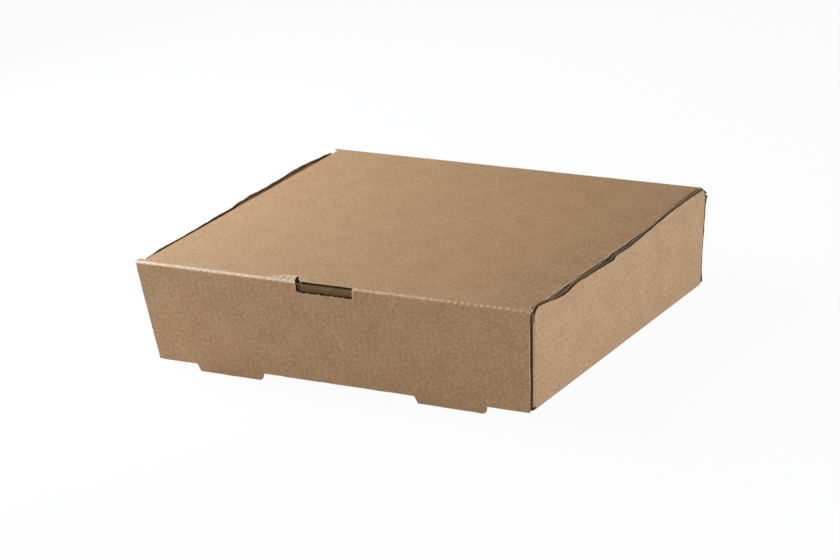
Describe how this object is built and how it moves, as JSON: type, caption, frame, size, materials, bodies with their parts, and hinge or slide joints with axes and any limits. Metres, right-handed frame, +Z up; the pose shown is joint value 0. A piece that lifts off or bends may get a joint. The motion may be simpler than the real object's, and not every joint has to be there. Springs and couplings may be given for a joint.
{
  "type": "waffle box",
  "caption": "Low kraft corrugated take-away box with leaning walls, a hinged lid with a finger slot, and a front flap with two locking tabs.",
  "frame": {"origin": "middle of the tray's underside", "axes": "+X to the right across the width, -Y towards the front flap, +Z up"},
  "size_m": [0.2162, 0.1727, 0.0549],
  "materials": {
    "kraft_board": "matte"
  },
  "bodies": {
    "tray": {"tray": "kraft_board"},
    "lid": {"lid": "kraft_board"},
    "front_flap": {"front_flap": "kraft_board"}
  },
  "joints": [
    {"name": "lid_crease", "type": "hinge", "parent": "tray", "child": "lid", "pos_m": [0, 0.08425, 0.0481], "axis": [-1, 0, 0], "range_deg": [0, 135]},
    {"name": "front_flap_crease", "type": "hinge", "parent": "lid", "child": "front_flap", "pos_m": [0, -0.08425, 0.0481], "axis": [-1, 0, 0], "range_deg": [0, 92.4]}
  ]
}
